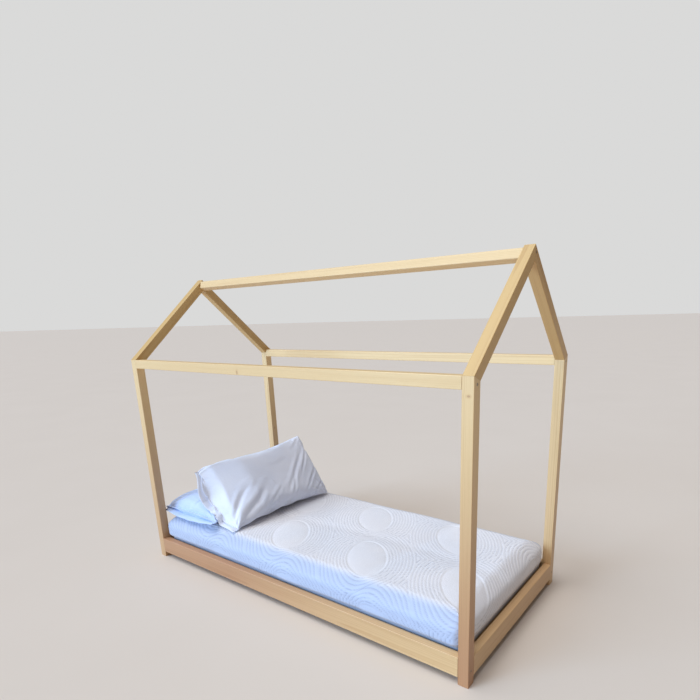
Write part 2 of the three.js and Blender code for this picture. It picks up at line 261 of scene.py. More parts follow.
def make_pine_group():
    """Solid softwood: growth rings round a pith that runs along X, fibres, and one knot."""
    group, n, entry, leave = shader_group(
        "pine_timber",
        [
            ("Vector", VECTOR, None),
            ("Pith", VECTOR, (0, 0.03, 0.05)),
            ("Ring Width", FLOAT, 0.0036),
            ("Waviness", FLOAT, 0.012),
            ("Knot Place", VECTOR, (9, 9, 9)),
            ("Knot Size", FLOAT, 0.006),
            ("Spring Wood", COLOUR, (0.8, 0.62, 0.36, 1)),
            ("Summer Wood", COLOUR, (0.55, 0.33, 0.13, 1)),
            ("Knot Colour", COLOUR, (0.52, 0.31, 0.15, 1)),
            ("Ring Contrast", FLOAT, 0.5),
            ("End Darkening", FLOAT, 0.0),
        ],
        [("Color", COLOUR), ("Roughness", FLOAT), ("Height", FLOAT)],
    )
    place = entry.outputs["Vector"]

    # The knot is a short cone across the grain; the rings sweep round it.
    to_knot = n.vector("SUBTRACT", place, entry.outputs["Knot Place"])
    reach = n.vector("LENGTH", n.vector("MULTIPLY", to_knot, (0.55, 1.0, 0.35)))
    knot_reach = n.math("DIVIDE", reach, entry.outputs["Knot Size"])
    sweep = n.math("EXPONENT", n.math("MULTIPLY", n.math("POWER", knot_reach, 2.0), -0.12))

    slow = n.noise(n.vector("MULTIPLY", place, (0.8, 5.0, 5.0)), 1.0, 2.0, 0.5, "Color")
    wander = n.vector("MULTIPLY", n.vector("SUBTRACT", slow, (0.5, 0.5, 0.5)), (0.0, 1.0, 1.0))
    wander = n.add("ShaderNodeVectorMath", {0: wander}, operation="SCALE")
    n.put(wander.inputs["Scale"], entry.outputs["Waviness"])
    from_pith = n.vector("ADD", place, entry.outputs["Pith"])
    from_pith = n.vector("ADD", from_pith, wander.outputs["Vector"])
    radius = n.vector("LENGTH", n.vector("MULTIPLY", from_pith, (0.004, 1.0, 1.0)))
    pushed = n.math("MULTIPLY", entry.outputs["Knot Size"], 1.1)
    radius = n.math("ADD", radius, n.math("MULTIPLY", sweep, pushed))

    year = n.math("DIVIDE", radius, entry.outputs["Ring Width"])
    season = n.math("FRACT", year)
    late = n.math("MULTIPLY", n.math("POWER", season, 2.6), n.spread(season, 1.0, 0.93))
    chance = n.add("ShaderNodeTexWhiteNoise", {"W": n.math("FLOOR", year)}, noise_dimensions="1D")
    late = n.math("MULTIPLY", late, n.math("MULTIPLY_ADD", chance.outputs["Value"], 0.6, 0.55))

    # Fine fibres, broader streaks and slow changes of tone all run along the grain.
    fibre = n.noise(n.vector("MULTIPLY", place, (14.0, 700.0, 700.0)), 1.0, 3.0, 0.6)
    streak = n.noise(n.vector("MULTIPLY", place, (2.2, 60.0, 60.0)), 1.0, 2.0, 0.5)
    tone = n.noise(n.vector("MULTIPLY", place, (0.9, 9.0, 9.0)), 1.0, 1.0, 0.5)

    shade = n.math("MULTIPLY", late, entry.outputs["Ring Contrast"])
    shade = n.math("ADD", shade, n.math("MULTIPLY", n.spread(streak, 0.45, 0.8), 0.22))
    shade = n.math("ADD", shade, n.math("MULTIPLY", n.spread(fibre, 0.5, 0.85), 0.16))
    shade = n.math("ADD", shade, n.math("MULTIPLY", n.spread(tone, 0.4, 0.75), 0.18))
    colour = n.mix_colour(shade, entry.outputs["Spring Wood"], entry.outputs["Summer Wood"])

    # Darker and browner towards one end of the piece, by the share each end is given.
    deeper = n.mix_colour(1.0, colour, (0.62, 0.45, 0.44, 1), "MULTIPLY")
    colour = n.mix_colour(entry.outputs["End Darkening"], colour, deeper)

    heart = n.spread(knot_reach, 1.0, 0.75)
    halo = n.spread(knot_reach, 2.6, 0.9, 0.0, 0.45)
    colour = n.mix_colour(halo, colour, entry.outputs["Summer Wood"])
    colour = n.mix_colour(heart, colour, entry.outputs["Knot Colour"])
    n.put(leave.inputs["Color"], colour)

    rough = n.math("MULTIPLY_ADD", fibre, 0.16, 0.42)
    n.put(leave.inputs["Roughness"], n.math("SUBTRACT", rough, n.math("MULTIPLY", late, 0.08)))
    height = n.math("MULTIPLY_ADD", late, 0.5, n.math("MULTIPLY", fibre, 0.6))
    n.put(leave.inputs["Height"], n.math("SUBTRACT", height, n.math("MULTIPLY", heart, 0.3)))
    return group


PINE = make_pine_group()
CLEAR = {"Spring Wood": (0.82, 0.60, 0.31, 1), "Summer Wood": (0.60, 0.37, 0.15, 1)}
GOLDEN = {"Spring Wood": (0.71, 0.49, 0.195, 1), "Summer Wood": (0.51, 0.29, 0.088, 1)}
RAW = {"Spring Wood": (0.84, 0.69, 0.44, 1), "Summer Wood": (0.66, 0.46, 0.24, 1)}
BEECH = {"Spring Wood": (0.70, 0.47, 0.27, 1), "Summer Wood": (0.52, 0.31, 0.15, 1)}

# Knots that show, as (place as shares of the piece's box, size).
KNOTS = {
    "post_foot_front": ((0.5676, 0, 0.9447), 0.0018),
    "eave_rail_front": ((0.4321, 0, 0.2703), 0.0024),
    "post_head_rear": ((1, 0.4595, 0.5289), 0.0036),
}

# Share of a browner, darker tone at the low end and the high end of a piece, along its length.
END_DARKENING = {
    "post_foot_front": (1.0, 0.05),
    "post_foot_rear": (0.45, 0.05),
    "post_head_front": (0.65, 0.0),
    "post_head_rear": (0.5, 0.0),
    "side_rail_front": (1.2, 0.3),
    "side_rail_rear": (0.6, 0.3),
    "end_rail_foot": (0.45, 0.6),
    "end_rail_head": (0.5, 0.5),
    "eave_rail_front": (0.0, 0.0),
    "eave_rail_rear": (0.0, 0.0),
    "rafter_foot_front": (0.3, 0.3),
    "rafter_foot_rear": (0.4, 0.4),
    "rafter_head_front": (0.2, 0.2),
    "rafter_head_rear": (0.25, 0.25),
}
PLAIN_END_DARKENING = (0.12, 0.12)

FRAME_PARTS = ("post", "eave_rail", "side_rail", "end_rail", "ridge")
EAVE_CUT = 0.0163

# Turns a piece's own length to the grain's X.
ALONG_X = (0.0, 0.0, 0.0)
ALONG_Y = (0.0, 0.0, -math.pi / 2)
ALONG_Z = (0.0, math.pi / 2, 0.0)


def timber_material(name, along, number, tones, coat, end_darkening, **values):
    """Softwood cut from its own part of the log.

    End darkening is (axis, start, end, share at the start, share at the end).
    """
    material, n, shader = new_material(name)
    spot = np.random.default_rng(SEED * 1000 + number)
    where = n.add("ShaderNodeTexCoord").outputs["Object"]
    mapping = n.add("ShaderNodeMapping", {"Vector": where, "Rotation": along})
    timber = n.add("ShaderNodeGroup", {"Vector": mapping.outputs[0]}, node_tree=PINE)
    angle = spot.uniform(0, 2 * math.pi)
    away = spot.uniform(0.03, 0.075)
    axis, *darkening_ends = end_darkening
    position = n.add("ShaderNodeSeparateXYZ", {0: where}).outputs[axis]
    settings = {
        "End Darkening": n.spread(position, *darkening_ends),
        "Pith": (spot.uniform(-400, 400), away * math.cos(angle), away * math.sin(angle)),
        "Ring Width": spot.uniform(0.0028, 0.0046),
        **tones,
        **values,
    }
    for key, value in settings.items():
        n.put(timber.inputs[key], value)
    n.put(shader.inputs["Base Color"], timber.outputs["Color"])
    n.put(shader.inputs["Roughness"], timber.outputs["Roughness"])
    shader.inputs["Coat Weight"].default_value = coat
    shader.inputs["Coat Roughness"].default_value = 0.35
    n.put(shader.inputs["Normal"], n.bump(timber.outputs["Height"], 0.5, 0.0004))
    return material


def centre_of(node):
    low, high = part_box(node)
    return (low + high) / 2


def offset_pith(node, along, reach):
    """The pith's offset from the grain frame's origin, so that it lies reach away from the piece."""
    turned = Euler(along).to_matrix() @ centre_of(node)
    return tuple(-turned + Vector((0, *reach)))


def finish_timber():
    """Gives every wooden piece its own material, with the grain along its length."""
    pitch = roof_pitch()
    for number, name in enumerate(sorted(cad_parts)):
        spot = np.random.default_rng(SEED * 77 + number)
        angle = spot.uniform(0, 2 * math.pi)
        away = spot.uniform(0.028, 0.06)
        reach = (away * math.cos(angle), away * math.sin(angle))
        low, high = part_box(name)
        size = high - low
        longest = max(range(3), key=lambda axis: size[axis])
        along = (ALONG_X, ALONG_Y, ALONG_Z)[longest]
        tones, coat = CLEAR, 0.25
        if name.startswith("rafter"):
            tones = GOLDEN
            lean = -pitch if name.endswith("front") else pitch
            along = (lean, 0.0, -math.pi / 2)
        elif name.startswith("slat"):
            tones, coat = RAW, 0.0
        elif "dowel" in name:
            tones, coat = BEECH, 0.0
        elif not name.startswith(FRAME_PARTS) or "screw" in name:
            continue
        values = {"Pith": offset_pith(name, along, reach)}
        if name in KNOTS:
            share, values["Knot Size"] = KNOTS[name]
            place = low + size * Vector(share)
            values["Knot Place"] = tuple(Euler(along).to_matrix() @ place)
        shares = END_DARKENING.get(name, PLAIN_END_DARKENING)
        end_darkening = (longest, low[longest], high[longest], *shares)
        material = timber_material(f"pine_{name}", along, number, tones, coat, end_darkening, **values)
        set_material(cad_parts[name], material)


def roof_pitch():
    """Slope of the rafters; a rafter's box is taller than its slope by the cut at its eave."""
    low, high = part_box("rafter_foot_front")
    return math.atan2(high.z - low.z - EAVE_CUT, high.y - low.y)


def set_material(obj, material):
    obj.data.materials.clear()
    obj.data.materials.append(material)


# ---------------------------------------------------------------- metal


def screw_material():
    """Zinc-plated steel, dulled in patches."""
    material, n, shader = new_material("zinc_screw")
    where = n.add("ShaderNodeTexCoord").outputs["Object"]
    grime = n.noise(where, 420.0, 4.0, 0.6)
    colour = n.mix_colour(grime, (0.20, 0.17, 0.13, 1), (0.42, 0.38, 0.32, 1))
    n.put(shader.inputs["Base Color"], colour)
    n.put(shader.inputs["Roughness"], n.spread(grime, 0.2, 0.8, 0.5, 0.28))
    shader.inputs["Metallic"].default_value = 1.0
    n.put(shader.inputs["Normal"], n.bump(grime, 0.3, 0.0001))
    return material


# ---------------------------------------------------------------- cloth


def make_weave_group():
    """Plain weave: threads over and under each other, with slubs."""
    group, n, entry, leave = shader_group(
        "plain_weave",
        [("Vector", VECTOR, None), ("Thread", FLOAT, 0.0005), ("Unevenness", FLOAT, 0.3)],
        [("Height", FLOAT), ("Gap", FLOAT)],
    )
    slub = n.noise(entry.outputs["Vector"], 90.0, 2.0, 0.5)
    scaled = n.add("ShaderNodeVectorMath", {0: entry.outputs["Vector"]}, operation="SCALE")
    n.put(scaled.inputs["Scale"], n.math("DIVIDE", 1.0, entry.outputs["Thread"]))
    parts = n.add("ShaderNodeSeparateXYZ", {0: scaled.outputs["Vector"]})
    across, up = parts.outputs["X"], parts.outputs["Y"]
    step = n.math("ADD", n.math("FLOOR", across), n.math("FLOOR", up))
    over = n.math("ABSOLUTE", n.math("MODULO", step, 2.0))

    def thread_height(coordinate):
        middle = n.math("SUBTRACT", n.math("FRACT", coordinate), 0.5)
        return n.math("SUBTRACT", 1.0, n.math("MULTIPLY", n.math("POWER", middle, 2.0), 4.0))

    warp, weft = thread_height(across), thread_height(up)
    woven = n.add("ShaderNodeMix", {0: over, 2: warp, 3: weft}, data_type="FLOAT").outputs[0]
    uneven = n.math("MULTIPLY", n.math("SUBTRACT", slub, 0.5), entry.outputs["Unevenness"])
    n.put(leave.inputs["Height"], n.math("ADD", woven, uneven))
    n.put(leave.inputs["Gap"], n.math("SUBTRACT", 1.0, n.math("MAXIMUM", warp, weft)))
    return group


WEAVE = make_weave_group()


def cotton_material(name, pale, deep):
    """Pillow cotton: fine weave, soft creases, a little sheen."""
    material, n, shader = new_material(name)
    cloth = n.add("ShaderNodeUVMap", uv_map="cloth").outputs[0]
    weave = n.add("ShaderNodeGroup", {"Vector": cloth, "Thread": 0.55 * MM}, node_tree=WEAVE)
    creases = n.noise(cloth, 16.0, 4.0, 0.55)
    wash = n.noise(cloth, 5.0, 2.0, 0.5)
    colour = n.mix_colour(n.spread(wash, 0.35, 0.7), pale, deep)
    shadowed = (*(0.75 * part for part in deep[:3]), 1)
    colour = n.mix_colour(n.math("MULTIPLY", weave.outputs["Gap"], 0.25), colour, shadowed)
    n.put(shader.inputs["Base Color"], colour)
    n.put(shader.inputs["Roughness"], n.spread(creases, 0.3, 0.7, 0.8, 0.92))
    shader.inputs["Sheen Weight"].default_value = 0.25
    shader.inputs["Sheen Roughness"].default_value = 0.5
    fine = n.bump(weave.outputs["Height"], 0.5, 0.00018)
    n.put(shader.inputs["Normal"], n.bump(creases, 0.5, 0.0035, Normal=fine))
    return material


def thread_material():
    """Sewing thread: near white, with a faint change of shade from stitch to stitch."""
    material, n, shader = new_material("pillow_thread")
    place = n.add("ShaderNodeTexCoord").outputs["Object"]
    shade = n.noise(place, 260.0, 1.0, 0.5)
    colour = n.mix_colour(shade, (0.74, 0.76, 0.86, 1), (0.82, 0.84, 0.91, 1))
    n.put(shader.inputs["Base Color"], colour)
    shader.inputs["Roughness"].default_value = 0.7
    shader.inputs["Sheen Weight"].default_value = 0.2
    return material


def quilt_material():
    """Stretch ticking: knitted loops, with painted shade in the quilting lines and between the loops, and
    painted blue light on its long sides.
    """
    material, n, shader = new_material("quilted_ticking")
    cloth = n.add("ShaderNodeUVMap", uv_map="cloth").outputs[0]
    loops = {"Vector": cloth, "Thread": 1.1 * MM, "Unevenness": 0.5}
    knit = n.add("ShaderNodeGroup", loops, node_tree=WEAVE)
    groove = n.add("ShaderNodeAttribute", attribute_name="groove").outputs["Fac"]
    wash = n.noise(cloth, 3.0, 2.0, 0.5)
    # Painted blue light: the cover is tinted blue on its long sides, where the window light falls.
    painted_side_light = n.add("ShaderNodeAttribute", attribute_name="painted_side_light").outputs["Fac"]
    top = n.mix_colour(n.spread(wash, 0.35, 0.7), (0.86, 0.85, 0.88, 1), (0.80, 0.81, 0.86, 1))
    colour = n.mix_colour(painted_side_light, top, (0.50, 0.58, 0.76, 1))
    # Painted shade: the quilting grooves and the gaps between the knitted loops are darkened.
    shadowed = n.mix_colour(1.0, colour, (0.6, 0.6, 0.64, 1), "MULTIPLY")
    colour = n.mix_colour(n.math("MULTIPLY", groove, 0.7), colour, shadowed)
    colour = n.mix_colour(n.math("MULTIPLY", knit.outputs["Gap"], 0.3), colour, shadowed)
    n.put(shader.inputs["Base Color"], colour)
    n.put(shader.inputs["Roughness"], n.spread(groove, 0.0, 1.0, 0.82, 0.92))
    shader.inputs["Sheen Weight"].default_value = 0.2
    shader.inputs["Sheen Roughness"].default_value = 0.4
    n.put(shader.inputs["Normal"], n.bump(knit.outputs["Height"], 0.45, 0.0004))
    return material


# ---------------------------------------------------------------- mattress


def block_surface(size, step):
    """Vertices and quads of a box's surface, on a grid of about the given step."""
    counts = [max(2, round(side / step)) for side in size]
    points, quads, total = [], [], 0
    for axis in range(3):
        first, second = [a for a in range(3) if a != axis]
        a = np.linspace(-size[first] / 2, size[first] / 2, counts[first] + 1)
        b = np.linspace(-size[second] / 2, size[second] / 2, counts[second] + 1)
        grid_a, grid_b = np.meshgrid(a, b, indexing="ij")
        index = np.arange(grid_a.size).reshape(grid_a.shape)
        corners = [index[:-1, :-1], index[1:, :-1], index[1:, 1:], index[:-1, 1:]]
        for sign in (-1, 1):
            face = np.empty((grid_a.size, 3))
            face[:, axis] = sign * size[axis] / 2
            face[:, first] = grid_a.ravel()
            face[:, second] = grid_b.ravel()
            outwards = (sign > 0) != (axis == 1)
            order = corners if outwards else corners[::-1]
            quads.append(np.stack([c.ravel() for c in order], 1) + total)
            points.append(face)
            total += len(face)
    points = np.concatenate(points)
    keys, index = np.unique(np.round(points / 1e-6).astype(int), axis=0, return_inverse=True)
    return keys * 1e-6, index.ravel()[np.concatenate(quads)]


def rounded_block(points, size):
    """A block rounded in plan and along its edges, seen from points near it.

    Gives each point's distance from it, the outward normal, and the place on the unfolded cover.
    """
    half = np.array(size[:2]) / 2
    corner = MATTRESS_CORNER
    edge = np.where(points[:, 2] > 0, MATTRESS_TOP_EDGE, MATTRESS_BOTTOM_EDGE)
    past = np.abs(points[:, :2]) - (half - corner)
    out = np.maximum(past, 0)
    length = np.linalg.norm(out, axis=1)
    plan = length + np.minimum(past.max(1), 0) - corner
    toward = np.where(length[:, None] > 1e-9, out / np.maximum(length, 1e-9)[:, None], 0)
    inner = length <= 1e-9
    toward[inner] = np.eye(2)[past[inner].argmax(1)]
    toward *= np.where(points[:, :2] < 0, -1, 1)
    side = plan + edge
    rise = np.abs(points[:, 2]) - (size[2] / 2 - edge)
    reach = np.hypot(np.maximum(side, 0), np.maximum(rise, 0))
    distance = reach + np.minimum(np.maximum(side, rise), 0) - edge
    rounded = reach > 1e-9
    share_side = np.where(rounded, np.maximum(side, 0) / np.maximum(reach, 1e-9), (side > rise) * 1.0)
    share_rise = np.where(rounded, np.maximum(rise, 0) / np.maximum(reach, 1e-9), (side <= rise) * 1.0)
    upwards = np.where(points[:, 2] < 0, -1, 1)
    normal = np.column_stack([toward * share_side[:, None], share_rise * upwards])
    arc = edge * np.arctan2(np.maximum(side, 0), np.maximum(rise, 1e-9))
    down_side = edge * math.pi / 2 + size[2] / 2 - edge - points[:, 2]
    arc = np.where(points[:, 2] > size[2] / 2 - edge, arc, down_side)
    arc = np.where(side > 0, arc, 0)
    cloth = points[:, :2] - toward * np.maximum(side, 0)[:, None] + toward * arc[:, None]
    return distance, normal, cloth


def oval_reach(cloth):
    """How far each place on the cover is outside its nearest oval, and how deep inside, 0 to 1."""
    nearest = np.full(len(cloth), 9.0)
    inside = np.zeros(len(cloth))
    cosine, sine = math.cos(OVAL_TURN), math.sin(OVAL_TURN)
    for row in range(-3, 4):
        for column in range(-5, 5):
            x = OVAL_START[0] + column * OVAL_PITCH + (row % 2) * OVAL_PITCH / 2
            y = OVAL_START[1] + row * OVAL_ROW
            a = (cloth[:, 0] - x) * cosine + (cloth[:, 1] - y) * sine
            b = -(cloth[:, 0] - x) * sine + (cloth[:, 1] - y) * cosine
            level = np.hypot(a / (OVAL_LENGTH / 2), b / (OVAL_WIDTH / 2))
            slope = np.hypot(a / (OVAL_LENGTH / 2) ** 2, b / (OVAL_WIDTH / 2) ** 2)
            away = (level - 1) * level / np.maximum(slope, 1e-6)
            nearest = np.minimum(nearest, away)
            inside = np.maximum(inside, 1 - level**2)
    return nearest, np.clip(inside, 0, 1)


def quilting(cloth):
    """Height of the quilted cover and the depth of its grooves, 0 to 1."""
    away, inside = oval_reach(cloth)
    wave = np.abs(np.sin(math.pi * np.maximum(away, 0) / RING_SPACING))
    outside = smoothstep(0, RING_SPACING / 3, away)
    height = RING_HEIGHT * np.sqrt(wave) * outside + OVAL_SWELL * np.sqrt(inside)
    groove = (1 - smoothstep(0.0, 0.5, wave)) * outside
    return height, groove


def soft_top(cloth):
    """Slow lumps over the cover, and two shallow folds: one across the bed, one along its middle."""
    along, across = cloth.T
    lumps = np.sin(along * 9.0 + 1.3) * np.sin(across * 11.0 + 0.4)
    lumps += 0.6 * np.sin(along * 17.0 + across * 13.0)
    fold_across = np.exp(-(((along - 0.40 - 0.03 * np.sin(across * 6)) / 0.03) ** 2))
    fold_along = np.exp(-(((across + 0.02 - 0.02 * np.sin(along * 5)) / 0.03) ** 2))
    return 1.2 * MM * lumps - 2.2 * MM * fold_across - 1.8 * MM * fold_along


def make_mattress():
    """The padded mattress: a rounded block, swollen over the rails, under its quilted cover."""
    low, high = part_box("mattress_cover")
    size = high - low
    middle = np.array((low + high) / 2)
    points, quads = block_surface(size, MATTRESS_STEP)
    distance, normal, _ = rounded_block(points, size)
    points = points - normal * distance[:, None]
    _, normal, cloth = rounded_block(points, size)
    height, groove = quilting(cloth)

    # The quilting fades out low on the sides, where the rails hide it.
    bottom, top = -size.z / 2, size.z / 2
    upper = smoothstep(bottom + 20 * MM, bottom + 45 * MM, points[:, 2])
    beside_rail = smoothstep(bottom + 6 * MM, bottom + 22 * MM, points[:, 2])
    above_rail = smoothstep(bottom + 29 * MM, bottom + 58 * MM, points[:, 2])
    shoulder = 1 - smoothstep(top - 40 * MM, top, points[:, 2])
    spread = np.outer(beside_rail, BULGE_BESIDE_RAIL) + np.outer(above_rail, BULGE_OVER_RAIL)
    bulge = normal * spread * shoulder[:, None]
    move = (height - RING_HEIGHT + soft_top(cloth)) * upper - 1.0 * MM
    points = points + normal * move[:, None] + bulge + middle

    mattress = mesh_object("mattress", points, quads)
    set_uv(mattress.data, cloth)
    set_value(mattress.data, "groove", groove * upper)
    # Mask of the painted blue light on the long sides of the cover.
    set_value(mattress.data, "painted_side_light", smoothstep(0.08, 0.7, np.abs(normal[:, 1])))
    set_material(mattress, quilt_material())
    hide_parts("mattress_cover", "mattress_core")
    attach(mattress, "mattress")


# ---------------------------------------------------------------- pillows


def case_grid():
    """A pillowcase laid flat: two layers that share their seam.

    Vertices are (across, along, layer), each from -1 to 1, and faces are quads.
    """
    rows = round(CASE_WIDTH / CASE_STEP)
    columns = round(CASE_LENGTH / CASE_STEP)
    top, bottom, places = {}, {}, []
    for i in range(rows + 1):
        for j in range(columns + 1):
            place = (2 * i / rows - 1, 2 * j / columns - 1)
            top[i, j] = len(places)
            places.append((*place, 1))
            if i in (0, rows) or j in (0, columns):
                bottom[i, j] = top[i, j]
            else:
                bottom[i, j] = len(places)
                places.append((*place, -1))
    faces = []
    for i in range(rows):
        for j in range(columns):
            faces.append((top[i, j], top[i + 1, j], top[i + 1, j + 1], top[i, j + 1]))
            faces.append((bottom[i, j + 1], bottom[i + 1, j + 1], bottom[i + 1, j], bottom[i, j]))
    return np.array(places, float), faces


def filled_pillow(name, seed):
    """A pillow lying flat about the origin, blown up from its flat case. X across, Y along."""
    places, faces = case_grid()
    u, v, layer = places.T
    start = 12 * MM * np.sqrt(np.maximum((1 - u**2) * (1 - v**2), 0))
    rng = np.random.default_rng(seed)
    ripple = np.zeros(len(places))
    for _ in range(10):
        strength, across, along = rng.uniform(0.3, 1.0), rng.uniform(3, 14), rng.uniform(3, 16)
        ripple += strength * np.sin(across * u + along * v + rng.uniform(0, 6.3))
    height = layer * start + 0.7 * MM * ripple
    points = np.column_stack([u * CASE_WIDTH / 2, v * CASE_LENGTH / 2, height])
    pillow = mesh_object(name, points, faces)
    cloth = pillow.modifiers.new("filling", "CLOTH")
    for setting, value in CASE_CLOTH.items():
        setattr(cloth.settings, setting, value)
    cloth.settings.effector_weights.gravity = 0
    cloth.collision_settings.use_collision = False
    cloth.point_cache.frame_start = 1
    cloth.point_cache.frame_end = FILL_FRAMES + 1
    scene = bpy.context.scene
    for number in range(1, FILL_FRAMES + 1):
        scene.frame_set(number)
    result = pillow.evaluated_get(bpy.context.evaluated_depsgraph_get())
    set_points(pillow.data, get_points(result.data))
    pillow.modifiers.clear()
    scene.frame_set(1)
    set_uv(pillow.data, places[:, :2] * (CASE_WIDTH / 2, CASE_LENGTH / 2))
    return pillow, places


def refine(obj):
    """Subdivides a piece once, for good."""
    modifier = obj.modifiers.new("smooth", "SUBSURF")
    modifier.levels = modifier.render_levels = 1
    evaluated = obj.evaluated_get(bpy.context.evaluated_depsgraph_get())
    fresh = bpy.data.meshes.new_from_object(evaluated)
    obj.modifiers.clear()
    obj.data = fresh
    fresh.shade_smooth()


def square_off_end(along):
    """Draws the plump part of a pillow out towards its front end, which then stands nearly square."""
    end = along.min()
    share = np.clip((along - end) / BOXY_REACH, 0, 1)
    return np.where(share < 1, end + BOXY_REACH * share**BOXY_POWER, along)


def soft_minimum(first, second, blend):
    """The lower of two heights, rounded where they cross."""
    share = np.clip(0.5 + 0.5 * (second - first) / blend, 0, 1)
    return second * (1 - share) + first * share - blend * share * (1 - share)


def fit_size(points, size):
    """Scales points about their middle to fill a size."""
    low, high = points.min(0), points.max(0)
    return (points - (low + high) / 2) * (np.array(size) / (high - low))


def mattress_top():
    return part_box("mattress_cover")[1].z


def corner_gathers(seed):
    """Short creases that fan out from the four corners of a case, as wrinkles() takes them."""
    rng = np.random.default_rng(seed)
    creases = []
    for end, edge, _ in itertools.product((0, 1), (0, 1), range(4)):
        angle = rng.uniform(0.15, 1.4)
        start = rng.uniform(18, 30) * MM
        reach = start + rng.uniform(50, 120) * MM
        toward = np.array([math.sin(angle) / CASE_LENGTH, math.cos(angle) / CASE_WIDTH])
        sign = np.array([1 - 2 * end, 1 - 2 * edge])
        corner = np.array([end, edge])
        width, depth = rng.uniform(4, 7) * MM, rng.uniform(1.2, 2.6) * MM
        inner, outer = corner + sign * toward * start, corner + sign * toward * reach
        creases.append((inner, outer, width, depth))
    return creases


def wrinkles(places, creases):
    """Height of the cloth at places on the case: each crease is a valley with a soft ridge beside it.

    A crease is (start, end, width, depth); its ends are shares of the case's length, from the open
    end, and of its width.
    """
    height = np.zeros(len(places))
    size = np.array([CASE_LENGTH, CASE_WIDTH])
    for start, end, width, depth in creases:
        first = np.array(start) * size
        run = np.array(end) * size - first
        length = np.linalg.norm(run)
        offset = places - first
        share = np.clip(offset @ run / length**2, 0, 1)
        foot = first + share[:, None] * run
        side = (offset[:, 0] * run[1] - offset[:, 1] * run[0]) / length
        away = np.linalg.norm(places - foot, axis=1)
        fade = np.sqrt(np.sin(math.pi * np.clip(share, 0.02, 0.98)))
        valley = np.exp(-((away / width) ** 2))
        ridge = np.exp(-(((np.abs(side) - 1.9 * width) / (1.3 * width)) ** 2)) * (away < 5 * width)
        height += depth * fade * (0.75 * ridge - valley)
    return height


def cloth_places(mesh):
    """UV of each vertex."""
    corner = np.empty(len(mesh.loops), int)
    mesh.loops.foreach_get("vertex_index", corner)
    flat = np.empty(len(mesh.loops) * 2)
    mesh.uv_layers["cloth"].data.foreach_get("uv", flat)
    places = np.zeros((len(mesh.vertices), 2))
    places[corner] = flat.reshape(-1, 2)
    return places


def hem_layer(seam, sign, reach, gap, seed):
    """One layer of the case's open hem: a thin closed strip that runs out from the filled end."""
    rng = np.random.default_rng(seed)
    stations = len(seam)
    u = np.linspace(-1, 1, stations)
    wave = np.zeros(stations)
    for _ in range(4):
        strength = rng.uniform(0.4, 1)
        wave += strength * np.sin(rng.uniform(3, 13) * u + rng.uniform(0, 6.3))
    rings = []
    for row in range(HEM_ROWS + 1):
        share = row / HEM_ROWS
        out = -HEM_OVERLAP + (reach + HEM_OVERLAP) * share
        line = seam.copy()
        line[:, 1] -= out + 1.5 * MM * wave * share
        line[:, 2] += sign * (0.5 + 0.5 * share) * gap * (1 - u**2) + 1.2 * MM * wave * share * sign
        rings.append(line)
    outer = [line + (0, 0, HEM_THICKNESS / 2) for line in rings]
    inner = [line - (0, 0, HEM_THICKNESS / 2) for line in rings[::-1]]
    section = np.stack(outer + inner)
    count = len(section)
    points = section.transpose(1, 0, 2).reshape(-1, 3)
    faces = []
    for k in range(stations - 1):
        for m in range(count):
            after = (m + 1) % count
            quad = [k * count + m, k * count + after, (k + 1) * count + after, (k + 1) * count + m]
            faces.append(quad[::-1])
    for k, turn in ((0, 1), (stations - 1, -1)):
        for m in range(count // 2 - 1):
            quad = [k * count + i for i in (m, m + 1, count - 2 - m, count - 1 - m)]
            faces.append(quad[::-turn])
    across = np.repeat(u * CASE_WIDTH / 2, count)
    places = np.column_stack([across, points[:, 1] - seam[:, 1].mean() - CASE_LENGTH / 2])
    return points, faces, places


def stitch_tree():
    """A node tree that lays a row of short stitches along the edges it is given."""
    tree = bpy.data.node_groups.new("hem_stitches", "GeometryNodeTree")
    tree.interface.new_socket("Geometry", in_out="INPUT", socket_type="NodeSocketGeometry")
    sizes = {"Pitch": STITCH_PITCH, "Stitch Length": STITCH_LENGTH, "Thread Radius": THREAD_RADIUS}
    for name, value in sizes.items():
        socket = tree.interface.new_socket(name, in_out="INPUT", socket_type="NodeSocketFloat")
        socket.default_value = value
    tree.interface.new_socket("Thread", in_out="INPUT", socket_type="NodeSocketMaterial")
    tree.interface.new_socket("Geometry", in_out="OUTPUT", socket_type="NodeSocketGeometry")
    n = Nodes(tree)
    entry = n.add("NodeGroupInput").outputs
    curve = n.add("GeometryNodeMeshToCurve", {"Mesh": entry["Geometry"]})
    pitch = {"Curve": curve.outputs[0], "Length": entry["Pitch"]}
    spaced = n.add("GeometryNodeResampleCurve", pitch, mode="LENGTH")
    stitch = n.add("GeometryNodeMeshUVSphere", {"Segments": 6, "Rings": 4, "Radius": 1.0})
    along = n.add("GeometryNodeInputTangent")
    turn = n.add("FunctionNodeAlignRotationToVector", {"Vector": along.outputs[0]}, axis="Z")
    half = n.math("MULTIPLY", entry["Stitch Length"], 0.5)
    radius = entry["Thread Radius"]
    shape = n.add("ShaderNodeCombineXYZ", {0: radius, 1: radius, 2: half})
    placed = n.add(
        "GeometryNodeInstanceOnPoints",
        {
            "Points": spaced.outputs[0],
            "Instance": stitch.outputs["Mesh"],
            "Rotation": turn.outputs[0],
            "Scale": shape.outputs[0],
        },
    )
    real = n.add("GeometryNodeRealizeInstances", {0: placed.outputs[0]})
    thread = {"Geometry": real.outputs[0], "Material": entry["Thread"]}
    coloured = n.add("GeometryNodeSetMaterial", thread)
    leave = n.add("NodeGroupOutput")
    tree.links.new(coloured.outputs[0], leave.inputs[0])
    return tree


